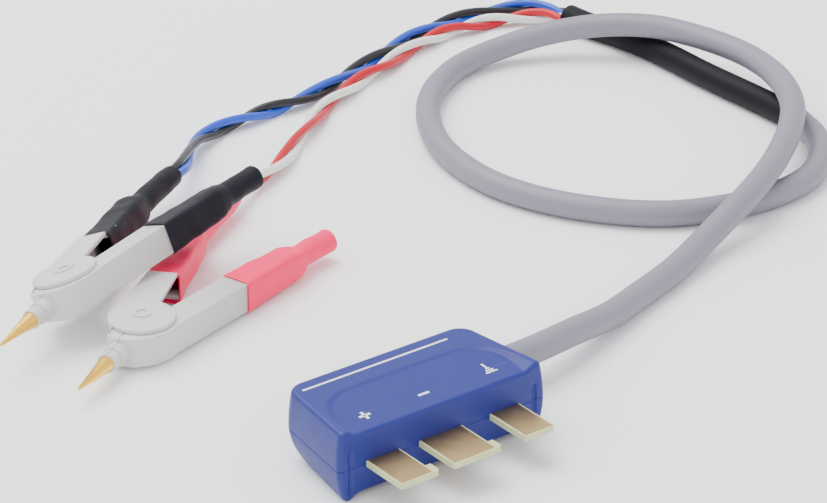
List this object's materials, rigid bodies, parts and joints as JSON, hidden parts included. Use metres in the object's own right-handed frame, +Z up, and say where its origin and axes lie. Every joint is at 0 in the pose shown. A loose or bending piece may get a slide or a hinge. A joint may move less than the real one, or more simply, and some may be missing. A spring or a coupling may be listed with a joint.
{
  "type": "lcr meter kelvin clip lead",
  "caption": "Kelvin clip test lead: bladed plug housing, screened cable looped on the bench, and sprung clips with needle tips.",
  "frame": {"origin": "centre of the plug housing's flat underside, on the surface that the whole lead lies on", "axes": "+X along the housing towards its cable end, -Y out of the blades, +Z up from the surface"},
  "size_m": [0.2958, 0.2467, 0.0254],
  "materials": {
    "blue_shell": "semi-matt moulded ABS",
    "board": "glass-epoxy laminate",
    "gold_plate": "gold plated",
    "steel": "bright steel",
    "nylon": "natural nylon",
    "blue_wire": "PVC insulation",
    "black_wire": "PVC insulation",
    "red_wire": "PVC insulation",
    "white_wire": "PVC insulation",
    "grey_jacket": "matt PVC jacket",
    "black_shrink": "matt heat-shrink",
    "red_shrink": "matt heat-shrink",
    "clip_plastic": "moulded nylon"
  },
  "bodies": {
    "lead": {"upper_shell": "blue_shell", "lower_shell": "blue_shell", "circuit_board": "board", "top_pads": "gold_plate", "bottom_pads": "gold_plate", "shell_screws": "steel", "cable_tie": "nylon", "inner_blue_wire": "blue_wire", "inner_black_wire": "black_wire", "inner_red_wire": "red_wire", "inner_white_wire": "white_wire", "grey_cable": "grey_jacket", "split_sleeve": "black_shrink", "black_clip_wires": "blue_wire", "red_clip_wires": "red_wire", "black_rear_half": "clip_plastic", "black_rear_tip": "gold_plate", "black_pivot_pin": "clip_plastic", "black_spring": "steel", "black_rear_boot": "black_shrink", "red_rear_half": "clip_plastic", "red_rear_tip": "gold_plate", "red_pivot_pin": "clip_plastic", "red_spring": "steel", "red_rear_boot": "red_shrink"},
    "black_jaw": {"black_front_half": "clip_plastic", "black_front_tip": "gold_plate", "black_front_boot": "black_shrink"},
    "red_jaw": {"red_front_half": "clip_plastic", "red_front_tip": "gold_plate", "red_front_boot": "red_shrink"}
  },
  "joints": [
    {"name": "black_clip_hinge", "type": "hinge", "parent": "lead", "child": "black_jaw", "pos_m": [-0.0341, 0.1046, 0.0072], "axis": [-0.1735, 0.2862, 0.9423], "range_deg": [0, 18], "stiffness_Nm_per_rad": 0.3, "springref_deg": -28.65},
    {"name": "red_clip_hinge", "type": "hinge", "parent": "lead", "child": "red_jaw", "pos_m": [-0.0266, 0.0838, 0], "axis": [0, 0, 1], "range_deg": [0, 18], "stiffness_Nm_per_rad": 0.3, "springref_deg": -28.65}
  ]
}
